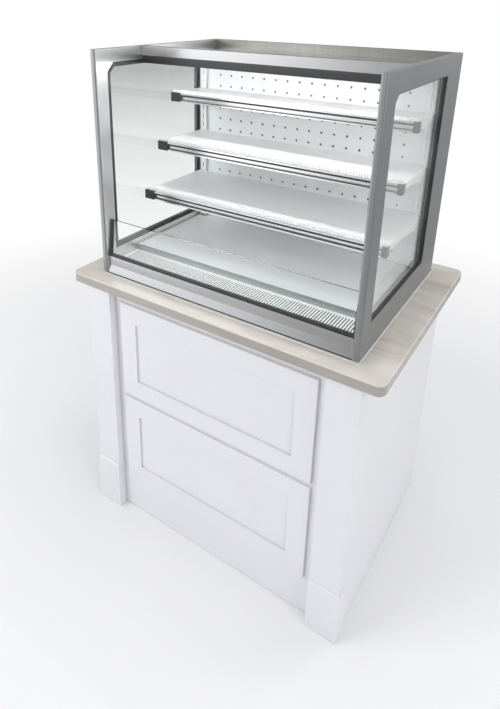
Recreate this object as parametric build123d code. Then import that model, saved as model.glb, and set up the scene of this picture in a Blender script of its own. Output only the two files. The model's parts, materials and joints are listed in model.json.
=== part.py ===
from build123d import *
import os
from math import radians, sin

# Drop-in refrigerated display standing in a panelled service counter.
# Millimetres. The front faces -Y, +X is to the right and +Z is up.
# The origin is on the floor, under the middle of the counter top.

# The whole
display_width = 914.0      # over the outer faces of the two side frames
display_depth = 660.0
display_height = 735.0     # from the counter top to the top of the side frames
counter_height = 960.0     # from the floor to the top of the stone
top_thickness = 32.0
overhang_side = 90.0       # stone beyond the display
overhang_front = 60.0
overhang_rear = 75.0

top_width = display_width + 2 * overhang_side
top_depth = display_depth + overhang_front + overhang_rear
stone_front = -top_depth / 2
stone_rear = top_depth / 2
display_front = stone_front + overhang_front
display_rear = display_front + display_depth
display_middle = (display_front + display_rear) / 2
display_top = counter_height + display_height
stone_under = counter_height - top_thickness

# Fits
panel_gap = 0.5            # between a moving panel and what it lies on or beside
hinge_clearance = 0.05     # on the radius, between a pin and its knuckle
tank_clearance = 3.0       # between the tank and the cut-out in the stone

# Stone top
stone_corner = 25.0
stone_edge = 4.0
cutout_corner = 2 * tank_clearance
flange_overlap = 25.0      # how far the display covers the stone round the cut-out
cutout_width = display_width - 2 * flange_overlap
cutout_depth = display_depth - 2 * flange_overlap

# Counter base
base_side_inset = 58.0     # stone beyond the base, each side
base_front_inset = 15.0
base_rear_inset = 15.0
board_thickness = 18.0
pilaster_width = 98.0
pilaster_proud = 28.0
board_edge = 1.5
plinth_height = 195.0
plinth_proud = 5.0
plinth_chamfer = 4.0
front_panel_margin = 28.0
front_panel_head = 43.0    # from the upper panel to the stone
front_panel_base = 155.0
front_panel_space = 16.0
front_panel_thickness = 9.0
front_panel_rail = 66.0
front_panel_recess = 6.0
floor_height = 80.0

base_half = top_width / 2 - base_side_inset
base_front = stone_front + base_front_inset
base_rear = stone_rear - base_rear_inset
front_board_face = base_front + pilaster_proud
front_board_back = front_board_face + board_thickness
front_panel_height = (stone_under - front_panel_head - front_panel_base - front_panel_space) / 2
inside_half = base_half - board_thickness
pilaster_inner = base_half - pilaster_width
floor_top = floor_height + board_thickness

# Service doors at the back
door_frame_side = 40.0
door_frame_foot = 100.0
door_frame_head = 40.0
door_gap = 1.5
door_thickness = 18.0
louvre_width_margin = 55.0
louvre_height = 7.0
louvre_pitch = 24.0
louvre_count = 9
louvre_end_margin = 60.0
louvre_tilt = 30.0
hinge_height = 66.0
hinge_leaf_width = 26.0
hinge_leaf = 2.0
knuckle_radius = 4.0
hinge_pin_radius = 2.0
hinge_play = 0.4
hinge_inset = 90.0
knob_radius = 11.0
knob_length = 13.0
knob_neck = 5.0
knob_neck_length = 5.0
knob_shoulder = 7.0
knob_rim = 11.0
knob_face_radius = 9.0
knob_margin = 34.0

door_opening_half = inside_half - door_frame_side
door_opening_low = door_frame_foot
door_opening_high = stone_under - door_frame_head
hinge_x = door_opening_half - door_gap / 2
hinge_y = base_rear + knuckle_radius
hinge_heights = (door_opening_low + hinge_inset, door_opening_high - hinge_inset)

# Drop-in tank that hangs in the stone
gasket_thickness = 2.0
flange_thickness = 2.0
tank_depth = 300.0
tank_skin = 1.2
insulation_thickness = 30.0
drain_radius = 12.0
drain_length = 60.0
flange_top = counter_height + gasket_thickness + flange_thickness
tank_width = cutout_width - 2 * tank_clearance
tank_length = cutout_depth - 2 * tank_clearance
tank_bottom = flange_top - tank_depth
spout_end = tank_bottom + tank_skin + insulation_thickness - drain_length

# Side frames and their panes
frame_thickness = 20.0
frame_front_stile = 62.0
frame_rear_stile = 145.0
frame_head = 54.0
frame_foot = 86.0
frame_nose_radius = 6.0
window_chamfer = 20.0
rebate_width = 12.0
pane_thickness = 6.0
gasket_width = 3.0
reveal_lining = 2.0
lining_setback = 1.5       # from the frame's outer face to the edge of the lining
inner_half = display_width / 2 - frame_thickness

# Roof, canopy and air outlet
canopy_setback = 206.0
canopy_height = 29.0
canopy_depth = 26.0
sheet = 1.5
outlet_offset = 5.0
outlet_depth = 60.0
outlet_height = 12.0
outlet_cell = 9.0
outlet_pitch = 14.0
outlet_cell_length = 44.0
light_offset = 18.0
light_width = 22.0
light_drop = 9.0
light_end_gap = 30.0
canopy_front = display_front + canopy_setback
outlet_front = canopy_front + outlet_offset
roof_top = display_top - canopy_height     # the rail stands on the roof
roof_under = display_top - frame_head      # the ceiling is level with the heads of the windows

# Back wall and air duct
rear_panel_depth = 25.0
duct_face_offset = 128.0   # from the display's back to the face of the duct panel
duct_hole_radius = 4.0
duct_hole_pitch_x = 46.0
duct_hole_pitch_z = 40.0
duct_hole_margin = 40.0
duct_face = display_rear - duct_face_offset

# Deck and return air grille
deck_top_height = 58.0     # above the stone
grille_height = 38.0
deck_front_offset = 155.0
deck_trim_thickness = 3.0
deck_side_gap = 2.0
grille_front_offset = 34.0
grille_thickness = 2.0
grille_slot = 4.0
grille_pitch = 9.0
grille_rim = 12.0
rail_ledge = 18.0
deck_top = counter_height + deck_top_height
grille_top = counter_height + grille_height
deck_under = grille_top - grille_thickness
rail_top = deck_under - panel_gap
deck_front = display_front + deck_front_offset

# Front glass and fascia
glass_offset = 20.0
glass_foot_height = 62.0   # above the stone
glass_height = 124.0
glass_thickness = 6.0
glass_lean = 7.0           # degrees, top towards the back
trim_cover = 8.0
trim_thickness = 10.0
fascia_toe = 4.0
fascia_fold_height = 31.0
fascia_fold_offset = 12.0
fascia_ledge_depth = 18.0
glass_foot = counter_height + glass_foot_height

# Shelves, top to bottom
standard_width = 24.0
standard_depth = 12.0
standard_wall = 2.0
standard_side_gap = 10.0
slot_pitch = 32.0
slot_width = 5.0
slot_height = 16.0
standard_foot_gap = 4.0
sides = ("left", "right")
shelf_names = ("top", "middle", "bottom")
shelf_slots = {"top": 15, "middle": 10, "bottom": 5}
shelf_setbacks = {"top": 358.0, "middle": 281.0, "bottom": 205.0}
shelf_above_slot = 25.0
shelf_sheet = 1.2
shelf_flange = 20.0
shelf_side_gap = 8.0
shelf_lip = 11.0           # upright front edge above the shelf
shelf_slot = 4.0
shelf_slot_height = 7.0
shelf_slot_pitch = 8.2
shelf_slot_margin = 12.0
bracket_thickness = 3.0
bracket_root = 52.0
bracket_tip = 15.0
bracket_tip_inset = 20.0
hook_height = 9.0
hook_depth = 7.0
channel_depth = 8.0
channel_height = 30.0
channel_wall = 1.5
channel_lip = 5.0
end_cap_thickness = 3.0
end_cap_depth = 14.0
standard_foot = deck_top + standard_foot_gap
standard_x = inner_half - standard_side_gap - standard_width / 2
standard_face = duct_face - standard_depth
shelf_half = inner_half - shelf_side_gap

# Evaporator and its fans, in the tank
coil_width = 620.0
coil_depth = 150.0
coil_height = 120.0
coil_lift = 30.0
coil_offset = 300.0        # from the display's front to the coil's front face
fin_count = 36
fin_thickness = 1.0
tube_radius = 5.0
tube_rows = 3
tube_layers = 3
fan_plate_offset = 190.0
fan_plate_thickness = 2.0
fan_spacing = 330.0
fan_height = 110.0         # above the liner's floor
fan_radius = 78.0
fan_tip_gap = 7.0
fan_standoff = 5.0
fan_hub_radius = 20.0
fan_hub_length = 24.0
fan_blades = 5
blade_root_depth = 8.0     # of each blade inside the hub
blade_pitch = 28.0
blade_chord = 44.0
blade_thickness = 1.6
motor_radius = 30.0
motor_length = 42.0
motor_shaft_radius = 4.0
spider_width = 8.0
spider_thickness = 2.0
spider_overlap = 10.0
drain_wall = 1.5
drain_gap = 15.0
evaporator_hub_front = display_front + fan_plate_offset + fan_plate_thickness + fan_standoff

# Condensing unit on the floor of the base
unit_width = 620.0
unit_depth = 420.0
unit_lift = 12.0
unit_sheet = 2.5
unit_rear_gap = 60.0       # from the unit's plate to the rear frame
compressor_radius = 82.0
compressor_body = 150.0
compressor_x = 215.0
compressor_y = 110.0       # behind the front edge of the plate
compressor_crown = 38.0
compressor_seam = 3.0
compressor_foot = 4.0
compressor_foot_lift = 14.0
mount_radius = 11.0
condenser_width = 320.0
condenser_height = 300.0
condenser_depth = 60.0
condenser_x = -135.0
condenser_y = 340.0        # behind the front edge of the plate
condenser_fins = 30
condenser_rows = 2
condenser_layers = 5
shroud_depth = 40.0
condenser_fan_radius = 120.0
pan_width = 220.0
pan_depth = 150.0
pan_height = 32.0
pan_sheet = 1.5
pipe_radius = 5.0
pipe_bend = 18.0
pipe_rise = 70.0
pipe_offset = 40.0
pipe_drop = 28.0
pipe_riser_x = 372.0
pipe_hole_gap = 1.0
stub_spacing = 22.0
riser_rows = [
    display_front + coil_offset + coil_depth * (row + 0.5) / tube_rows for row in (0, tube_rows - 1)
]
unit_top = floor_top + unit_lift
unit_front = base_rear - board_thickness - unit_rear_gap - unit_depth
compressor_middle = unit_front + compressor_y
condenser_front = unit_front + condenser_y
shroud_front = condenser_front - shroud_depth
condenser_fan_z = unit_top + condenser_height / 2
condenser_hub_front = shroud_front + (shroud_depth - fan_hub_length) / 2

# Control box on the right side panel
box_width = 130.0
box_depth = 130.0
box_height = 190.0
box_sheet = 1.5
box_gap = 28.0             # from the box to the underside of the tank
box_rear_gap = 60.0
controls_offset = 45.0     # from the box's left face to the middle of the controls
controller_width = 74.0
controller_height = 34.0
controller_proud = 12.0
controller_lift = 140.0
window_margin = 7.0
window_width = 36.0
window_depth = 0.8
button_radius = 4.0
button_travel = 1.5
button_clearance = 0.3
button_depth = 8.0
button_proud = 2.5
button_margin = 14.0
rocker_width = 14.0
rocker_height = 22.0
rocker_throw = 10.0        # degrees each side of level
rocker_clearance = 0.4
rocker_swing = 1.6
rocker_rise = 2.0
rocker_lift = 75.0
rocker_spacing = 34.0
rocker_body = 6.0
rocker_housing = 9.0
rocker_pin_radius = 1.2
gland_radius = 8.0
gland_nut = 12.0
gland_nut_height = 7.0
gland_length = 21.0
gland_bore = 4.0
box_base = tank_bottom - box_gap - box_height
box_left = inside_half - box_width
box_face = base_rear - board_thickness - box_rear_gap
box_front = box_face - box_depth
box_middle_x = (box_left + inside_half) / 2
box_middle_y = (box_front + box_face) / 2
controls_x = box_left + controls_offset
button_place = (controls_x + controller_width / 2 - button_margin, box_base + controller_lift)
rocker_axis_y = box_face - rocker_body / 2


def block(x, y, z):
    """Box between the two limits of each axis."""
    size = [limits[1] - limits[0] for limits in (x, y, z)]
    centre = [(limits[0] + limits[1]) / 2 for limits in (x, y, z)]
    return Pos(*centre) * Box(*size)


def between(half):
    """Limits that lie evenly about zero."""
    return (-half, half)


def along_x(outline, x):
    """Outline of (y, z) points pulled along X between two limits."""
    face = make_face(Polyline(*outline, close=True))
    return Pos(x[0], 0, 0) * extrude(Plane.YZ * face, x[1] - x[0])


def round_bar(start, end, radius):
    """Straight round bar from one point to another."""
    start, end = Vector(*start), Vector(*end)
    seat = Plane(origin=start, z_dir=(end - start))
    return extrude(seat * Circle(radius), (end - start).length)


def pattern(shape, pitch, count):
    """Outlines repeated on a grid about the origin."""
    return Sketch() + [place * shape for place in GridLocations(*pitch, *count)]


def both_sides(piece):
    """The piece at the right and its mirror image at the left, as two solids."""
    return Compound([piece, mirror(piece, about=Plane.YZ)])


def at_side(piece, side):
    """The right-hand piece, mirrored when the side is the left one."""
    return piece if side == "right" else mirror(piece, about=Plane.YZ)


# Counter

def counter_top():
    """Stone slab with rounded corners, eased edges and the cut-out for the tank."""
    slab = extrude(RectangleRounded(top_width, top_depth, stone_corner), top_thickness)
    rims = slab.faces().sort_by(Axis.Z)
    slab = fillet(rims[-1].edges() + rims[0].edges(), stone_edge)
    hole = extrude(RectangleRounded(cutout_width, cutout_depth, cutout_corner), top_thickness)
    return Pos(0, 0, stone_under) * (slab - Pos(0, display_middle, 0) * hole)


def side_panels():
    panel = block((inside_half, base_half), (front_board_back, base_rear), (0, stone_under))
    return both_sides(panel)


def front_board():
    return block(between(pilaster_inner), (front_board_face, front_board_back), (0, stone_under))


def pilasters():
    post = block(
        (pilaster_inner, base_half), (base_front, front_board_back), (plinth_height, stone_under)
    )
    post = fillet(post.edges().filter_by(Axis.Z).group_by(Axis.Y)[0], board_edge)
    return both_sides(post)


def plinth_blocks():
    """Foot of each pilaster, proud of it in front and at its outer side."""
    foot = block(
        (pilaster_inner, base_half + plinth_proud),
        (base_front - plinth_proud, front_board_back),
        (0, plinth_height),
    )
    top = foot.faces().sort_by(Axis.Z)[-1].edges()
    weathered = top.group_by(Axis.Y)[0] + top.filter_by(Axis.Y).sort_by(Axis.X)[-1:]
    return both_sides(chamfer(weathered, plinth_chamfer))


def front_panels():
    """Two framed panels, one above the other, on the face of the front board."""
    half = pilaster_inner - front_panel_margin
    face = front_board_face - front_panel_thickness
    panels = []
    for number in range(2):
        low = front_panel_base + number * (front_panel_height + front_panel_space)
        high = low + front_panel_height
        frame = block(between(half), (face, front_board_face), (low, high))
        frame = chamfer(frame.faces().sort_by(Axis.Y)[0].edges(), board_edge)
        field = block(
            between(half - front_panel_rail),
            (face, face + front_panel_recess),
            (low + front_panel_rail, high - front_panel_rail),
        )
        panels.append(frame - field)
    return Compound(panels)


def base_floor():
    return block(
        between(inside_half),
        (front_board_back, base_rear - board_thickness),
        (floor_height, floor_top),
    )


def rear_frame():
    y = (base_rear - board_thickness, base_rear)
    frame = block(between(inside_half), y, (0, stone_under))
    return frame - block(between(door_opening_half), y, (door_opening_low, door_opening_high))


# Service doors

def louvres(x, low):
    """Sloping slots that let the condenser breathe through the door."""
    slots = []
    for row in range(louvre_count):
        cutter = Box(x[1] - x[0], 3 * door_thickness, louvre_height)
        slots.append(
            Pos((x[0] + x[1]) / 2, base_rear - door_thickness / 2, low + row * louvre_pitch)
            * Rot(louvre_tilt, 0, 0)
            * cutter
        )
    return slots


def door(side):
    """Louvred door, hung at the outer side of the opening."""
    x = (door_gap, door_opening_half - door_gap)
    z = (door_opening_low + door_gap, door_opening_high - door_gap)
    leaf = block(x, (base_rear - door_thickness, base_rear), z)
    slot_x = (x[0] + louvre_width_margin, x[1] - louvre_width_margin)
    span = (louvre_count - 1) * louvre_pitch
    for low in (z[0] + louvre_end_margin, z[1] - louvre_end_margin - span):
        leaf -= louvres(slot_x, low)
    return at_side(leaf, side)


def hinge_leaves(outer):
    """Right-hand leaves: those of the frame hold the pin, those of the door turn on it."""
    third = hinge_height / 3
    leaves = []
    for middle in hinge_heights:
        z = (middle - hinge_height / 2, middle + hinge_height / 2)
        y = (base_rear, base_rear + hinge_leaf)
        near = knuckle_radius + hinge_play
        if outer:
            leaf = block((hinge_x + near, hinge_x + hinge_leaf_width), y, z)
            knuckles = [(z[0], z[0] + third), (z[1] - third, z[1])]
        else:
            leaf = block((hinge_x - hinge_leaf_width, hinge_x - near), y, z)
            knuckles = [(z[0] + third + hinge_play, z[1] - third - hinge_play)]
        for low, high in knuckles:
            barrel = Cylinder(knuckle_radius, high - low, align=(Align.CENTER, Align.CENTER, Align.MIN))
            leaf += Pos(hinge_x, hinge_y, low) * barrel
            reach = (hinge_x, hinge_x + near) if outer else (hinge_x - near, hinge_x)
            leaf += block(reach, y, (low, high))
        radius = hinge_pin_radius if outer else hinge_pin_radius + hinge_clearance
        pin = Cylinder(radius, hinge_height, align=(Align.CENTER, Align.CENTER, Align.MIN))
        pin = Pos(hinge_x, hinge_y, z[0]) * pin
        leaves.append(leaf + pin if outer else leaf - pin)
    return leaves


def hinge_frame_leaves():
    leaves = hinge_leaves(outer=True)
    return Compound(leaves + [mirror(leaf, about=Plane.YZ) for leaf in leaves])


def knob():
    """Turned knob at the door's meeting edge."""
    outline = Polyline(
        (0, 0),
        (knob_neck, 0),
        (knob_neck, knob_neck_length),
        (knob_radius, knob_shoulder),
        (knob_radius, knob_rim),
        (knob_face_radius, knob_length),
        (0, knob_length),
        close=True,
    )
    turned = revolve(Plane.XZ * make_face(outline), Axis.Z)
    height = (door_opening_low + door_opening_high) / 2
    return Pos(door_gap + knob_margin, base_rear, height) * Rot(-90, 0, 0) * turned


def door_hardware(side):
    pieces = hinge_leaves(outer=False) + [knob()]
    return Compound([at_side(piece, side) for piece in pieces])


# Side frames, roof and back

def window_outline():
    """Opening of a side frame in (y, z): square but for its upper front corner."""
    front = display_front + frame_front_stile
    back = display_rear - frame_rear_stile
    low = flange_top + frame_foot
    high = display_top - frame_head
    return make_face(
        Polyline(
            (front, low),
            (back, low),
            (back, high),
            (front + window_chamfer, high),
            (front, high - window_chamfer),
            close=True,
        )
    )


def window_prism(grow, x):
    """The window's opening, grown by an even margin, between two x limits."""
    face = offset(window_outline(), amount=grow, kind=Kind.INTERSECTION) if grow else window_outline()
    return Pos(x[0], 0, 0) * extrude(Plane.YZ * face, x[1] - x[0])


def side_frames():
    """Flat frame with a rounded nose and a rebate inside for its pane."""
    outer = inner_half + frame_thickness
    plate = block((inner_half, outer), (display_front, display_rear), (flange_top, display_top))
    plate = fillet(plate.edges().filter_by(Axis.Z).group_by(Axis.Y)[0], frame_nose_radius)
    plate -= window_prism(0, (inner_half, outer))
    plate -= window_prism(rebate_width, (inner_half, inner_half + pane_thickness))
    return both_sides(plate)


def side_glass():
    return both_sides(
        window_prism(rebate_width - gasket_width, (inner_half, inner_half + pane_thickness))
    )


def glass_gaskets():
    """Rubber round each pane, lining the opening as far as the outer face."""
    inner = inner_half + pane_thickness
    outer = inner_half + frame_thickness - lining_setback
    seat = window_prism(rebate_width, (inner_half, inner))
    seat -= window_prism(rebate_width - gasket_width, (inner_half, inner))
    lining = window_prism(0, (inner, outer)) - window_prism(-reveal_lining, (inner, outer))
    return both_sides(seat + lining)


def roof_panel():
    """Hollow roof, sunk behind the rail, that leads the air from the duct to the outlet."""
    front, back = outlet_front + sheet, display_rear - rear_panel_depth
    x, hollow = between(inner_half), between(inner_half - sheet)
    roof = block(x, (front, back), (roof_under, roof_top))
    roof -= block(hollow, (front, back), (roof_under + sheet, roof_top - sheet))
    roof -= block(hollow, (front, outlet_back()), (roof_under, roof_under + sheet))
    roof -= block(x, (duct_face, back), (roof_under, roof_top - sheet))
    return roof + block(hollow, (back, back + sheet), (roof_top - sheet, roof_top))


def outlet_back():
    return outlet_front + outlet_depth


def canopy_rail():
    """Folded front rail of the canopy."""
    back = canopy_front + canopy_depth
    rail = block(between(inner_half), (canopy_front, back), (roof_top, display_top))
    hollow = (canopy_front + sheet, back - sheet)
    return rail - block(between(inner_half), hollow, (roof_top + sheet, display_top - sheet))


def air_honeycomb():
    """Air outlet in the roof's front: a lip under the rail and a row of cells behind it."""
    front = outlet_front + sheet
    lip = block(between(inner_half), (outlet_front, front), (roof_under, roof_top))
    bed_top = roof_under + outlet_height
    bed = block(between(inner_half - sheet), (front, outlet_back()), (roof_under, bed_top))
    count = int((2 * inner_half - 2 * outlet_pitch) / outlet_pitch)
    cell = Rectangle(outlet_cell, outlet_cell_length)
    cells = pattern(cell, (outlet_pitch, outlet_cell_length), (count, 1))
    low = Pos(0, (front + outlet_back()) / 2, roof_under)
    return lip + bed - low * extrude(cells, outlet_height)


def canopy_light():
    """Light strip with a half-round cover on the roof's underside."""
    middle = outlet_back() + light_offset
    half = light_width / 2
    lens = make_face(
        Line((middle + half, roof_under), (middle - half, roof_under))
        + ThreePointArc(
            (middle - half, roof_under), (middle, roof_under - light_drop), (middle + half, roof_under)
        )
    )
    reach = inner_half - light_end_gap
    return Pos(-reach, 0, 0) * extrude(Plane.YZ * lens, 2 * reach)


def rear_panel():
    """Folded back panel: closed behind the sunk roof, open to the duct below it."""
    front, back = display_rear - rear_panel_depth, display_rear
    hollow = between(inner_half - sheet)
    panel = block(between(inner_half), (front, back), (flange_top, display_top))
    panel -= block(hollow, (front, back - sheet), (flange_top + sheet, roof_top))
    return panel - block(hollow, (front + sheet, back - sheet), (roof_top, display_top - sheet))


def duct_panel():
    """Perforated inner back wall that lets the cold air out over the shelves."""
    low, high = deck_under, roof_under
    wall = block(between(inner_half), (duct_face, duct_face + sheet), (low, high))
    columns = int((2 * standard_x - 2 * duct_hole_margin) / duct_hole_pitch_x)
    rows = int((high - low - 2 * duct_hole_margin) / duct_hole_pitch_z)
    pitch = (duct_hole_pitch_x, duct_hole_pitch_z)
    holes = pattern(Circle(duct_hole_radius), pitch, (columns, rows))
    middle = Pos(0, duct_face + sheet, (low + high) / 2)
    return wall - middle * extrude(Plane.XZ * holes, sheet)


# Deck, return air and front glass

def deck_rails():
    """Angles along the side frames that carry the deck and the grille."""
    y = (fascia_ledge_back() + rail_ledge, duct_face)
    ledge = block((inner_half - rail_ledge, inner_half), y, (rail_top - sheet, rail_top))
    web = block((inner_half - sheet, inner_half), y, (flange_top + tank_skin, rail_top))
    return both_sides(ledge + web)


def folded_tray(x, y, top, flange, wall, open_back):
    """Sheet with its edges folded down."""
    tray = block(x, y, (top - flange, top))
    back = y[1] if open_back else y[1] - wall
    pocket = block((x[0] + wall, x[1] - wall), (y[0] + wall, back), (top - flange, top - wall))
    return tray - pocket


def deck_pan():
    """Tray under the lowest goods, notched at the back so that it lifts past the standards."""
    y = (deck_front, duct_face - panel_gap)
    half = inner_half - deck_side_gap
    tray = folded_tray(between(half), y, deck_top, deck_top - deck_under, sheet, False)
    reach = standard_width / 2 + deck_side_gap
    notch = block(
        (standard_x - reach, standard_x + reach),
        (standard_face - deck_side_gap, y[1]),
        (deck_under, deck_top),
    )
    return tray - notch - mirror(notch, about=Plane.YZ)


def deck_front_trim():
    y = (deck_front - deck_trim_thickness, deck_front)
    return block(between(inner_half - deck_side_gap), y, (deck_under, deck_top))


def return_grille():
    """Loose plate with slots from front to back, through which the air returns."""
    y = (display_front + grille_front_offset, deck_front - deck_trim_thickness - panel_gap)
    half = inner_half - deck_side_gap
    plate = block(between(half), y, (grille_top - grille_thickness, grille_top))
    count = int((2 * half - 2 * grille_rim) / grille_pitch)
    length = y[1] - y[0] - 2 * grille_rim
    slots = pattern(Rectangle(grille_slot, length), (grille_pitch, length), (count, 1))
    low = Pos(0, (y[0] + y[1]) / 2, grille_top - grille_thickness)
    return plate - low * extrude(slots, grille_thickness)


def glass_place():
    """Foot of the leaning front glass, raised so that the trim's rear edge meets the ledge."""
    lift = trim_thickness / 2 * sin(radians(glass_lean))
    return Pos(0, display_front + glass_offset, glass_foot + lift) * Rot(-glass_lean, 0, 0)


def upright_glass():
    foot = sheet
    return block(
        between(inner_half - sheet), between(glass_thickness / 2), (foot, glass_height)
    )


def front_glass():
    return glass_place() * upright_glass()


def front_glass_trim():
    """Black channel under the glass and up its two ends."""
    y = between(trim_thickness / 2)
    trim = block(between(inner_half), y, (0, glass_height))
    trim -= block(between(inner_half - trim_cover), y, (trim_cover, glass_height))
    return glass_place() * (trim - upright_glass())


def fascia_ledge_back():
    return display_front + glass_offset + fascia_ledge_depth / 2


def front_fascia():
    """Folded steel front: two facets, a ledge under the glass and a return for the grille."""
    toe = display_front + fascia_toe
    fold = display_front + fascia_fold_offset
    ledge_front = display_front + glass_offset - fascia_ledge_depth / 2
    ledge_back = fascia_ledge_back()
    fold_height = counter_height + fascia_fold_height
    ledge = glass_foot - sheet
    outline = (
        (toe, flange_top),
        (fold, fold_height),
        (ledge_front, glass_foot),
        (ledge_back, glass_foot),
        (ledge_back, rail_top),
        (ledge_back + rail_ledge, rail_top),
        (ledge_back + rail_ledge, rail_top - sheet),
        (ledge_back - sheet, rail_top - sheet),
        (ledge_back - sheet, ledge),
        (ledge_front + sheet, ledge),
        (fold + sheet, fold_height),
        (toe + sheet, flange_top),
    )
    return along_x(outline, between(inner_half))


# Shelves

def shelf_top(name):
    return standard_foot + shelf_slots[name] * slot_pitch + shelf_above_slot


def shelf_front(name):
    return display_front + shelf_setbacks[name]


def shelf_standards():
    """Slotted uprights on the duct panel."""
    x = (standard_x - standard_width / 2, standard_x + standard_width / 2)
    high = roof_under - panel_gap
    upright = block(x, (standard_face, duct_face), (standard_foot, high))
    channel = (x[0] + standard_wall, x[1] - standard_wall)
    upright -= block(channel, (standard_face + standard_wall, duct_face), (standard_foot, high))
    slots = int((high - standard_foot) / slot_pitch)
    for slot in range(slots):
        low = standard_foot + slot * slot_pitch + slot_height / 2
        upright -= block(
            (standard_x - slot_width / 2, standard_x + slot_width / 2),
            (standard_face, standard_face + standard_wall),
            (low, low + slot_height),
        )
    return both_sides(upright)


def shelf_brackets():
    """Tapered arms hooked into the slots, two to a shelf."""
    x = (standard_x - bracket_thickness / 2, standard_x + bracket_thickness / 2)
    arms = []
    for name in shelf_names:
        top = shelf_top(name) - shelf_sheet - panel_gap
        tip = shelf_front(name) + bracket_tip_inset
        root = top - bracket_root
        arm = along_x(
            ((tip, top), (standard_face, top), (standard_face, root), (tip, top - bracket_tip)), x
        )
        for slot in (shelf_slots[name] - 1, shelf_slots[name]):
            low = standard_foot + slot * slot_pitch + slot_height / 2
            arm += block(x, (standard_face, standard_face + hook_depth), (low, low + hook_height))
        arms += [arm, mirror(arm, about=Plane.YZ)]
    return Compound(arms)


def shelf_pan(name):
    """Folded shelf whose front edge is turned up and slotted to let the air through."""
    top, front = shelf_top(name), shelf_front(name)
    y = (front, standard_face - panel_gap)
    pan = folded_tray(between(shelf_half), y, top, shelf_flange, shelf_sheet, True)
    pan += block(between(shelf_half), (front, front + shelf_sheet), (top, top + shelf_lip))
    count = int((2 * shelf_half - 2 * shelf_slot_margin) / shelf_slot_pitch)
    slot = Rectangle(shelf_slot, shelf_slot_height)
    slots = pattern(slot, (shelf_slot_pitch, shelf_slot_height), (count, 1))
    middle = Pos(0, front + shelf_sheet, top + shelf_lip / 2)
    return pan - middle * extrude(Plane.XZ * slots, shelf_sheet)


def price_channel(name):
    """Channel for price strips along the shelf's front, with a cap at each end."""
    front, top = shelf_front(name), shelf_top(name) + channel_wall
    low = top - channel_height
    nose, web = front - channel_depth, front - channel_wall
    slit = nose + channel_wall
    outline = (
        (front, top),
        (nose, top),
        (nose, top - channel_lip),
        (slit, top - channel_lip),
        (slit, top - channel_wall),
        (web, top - channel_wall),
        (web, low + channel_wall),
        (slit, low + channel_wall),
        (slit, low + channel_lip),
        (nose, low + channel_lip),
        (nose, low),
        (front, low),
    )
    strip = along_x(outline, between(shelf_half))
    cap = block(
        (shelf_half, shelf_half + end_cap_thickness), (nose, front + end_cap_depth), (low, top)
    )
    return Compound([strip, cap, mirror(cap, about=Plane.YZ)])


# Tank

def tub(inset, thickness, height):
    """Open tub, inset by an even margin from the tank's outer faces."""
    width, length = tank_width - 2 * inset, tank_length - 2 * inset
    low = tank_bottom + inset
    middle = Pos(0, display_middle, low)
    shell = extrude(Rectangle(width, length), height - low)
    hollow = extrude(Rectangle(width - 2 * thickness, length - 2 * thickness), height - low)
    drain = extrude(Circle(drain_radius), height - low)
    tub_body = middle * (shell - Pos(0, 0, thickness) * hollow - drain)
    for y in riser_rows:
        hole = ((pipe_riser_x, y, low), (pipe_riser_x, y, low + thickness))
        tub_body -= round_bar(*hole, pipe_radius + pipe_hole_gap)
    return tub_body


def mounting_gasket():
    ring = Rectangle(display_width, display_depth) - Rectangle(cutout_width, cutout_depth)
    return Pos(0, display_middle, counter_height) * extrude(ring, gasket_thickness)


def tank_shell():
    """Outer steel tub with the flange that hangs on the stone."""
    low = flange_top - flange_thickness
    ring = Rectangle(display_width, display_depth)
    ring -= Rectangle(tank_width - 2 * tank_skin, tank_length - 2 * tank_skin)
    flange = Pos(0, display_middle, low) * extrude(ring, flange_thickness)
    return tub(0, tank_skin, flange_top) + flange


def tank_insulation():
    return tub(tank_skin, insulation_thickness, flange_top)


def tank_liner():
    """Inner tub with a rim over the insulation and the drain spout."""
    inset = tank_skin + insulation_thickness
    liner = tub(inset, tank_skin, flange_top)
    width, length = tank_width - 2 * inset, tank_length - 2 * inset
    ring = Rectangle(2 * (inner_half - sheet), tank_length)
    ring -= Rectangle(width - 2 * tank_skin, length - 2 * tank_skin)
    rim = Pos(0, display_middle, flange_top) * extrude(ring, tank_skin)
    spout = Circle(drain_radius) - Circle(drain_radius - tank_skin)
    length = tank_bottom + inset + tank_skin - spout_end
    return liner + rim + Pos(0, display_middle, spout_end) * extrude(spout, length)


def liner_floor():
    return tank_bottom + tank_skin + insulation_thickness + tank_skin


def finned_coil(x, y, z, fins, rows, layers):
    """Block of thin fins on straight tubes, with an end plate at each side."""
    half = (x[1] - x[0]) / 2
    pitch = 2 * half / (fins - 1)
    coil = []
    for fin in range(fins):
        middle = x[0] + fin * pitch
        thick = fin_thickness if 0 < fin < fins - 1 else 2 * fin_thickness
        coil.append(block((middle - thick / 2, middle + thick / 2), y, z))
    tubes = []
    for row in range(rows):
        for layer in range(layers):
            place = (
                y[0] + (row + 0.5) * (y[1] - y[0]) / rows,
                z[0] + (layer + 0.5) * (z[1] - z[0]) / layers,
            )
            tubes.append(round_bar((x[0] - pitch, *place), (x[1] + pitch, *place), tube_radius))
    return Part() + tubes + coil


def evaporator_coil():
    low = liner_floor() + coil_lift
    front = display_front + coil_offset
    coil = finned_coil(
        between(coil_width / 2),
        (front, front + coil_depth),
        (low, low + coil_height),
        fin_count,
        tube_rows,
        tube_layers,
    )
    for x in (-coil_width / 2, coil_width / 2):
        leg = (x - fin_thickness, x + fin_thickness)
        coil += block(leg, (front, front + coil_depth), (liner_floor(), low))
    return coil


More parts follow.
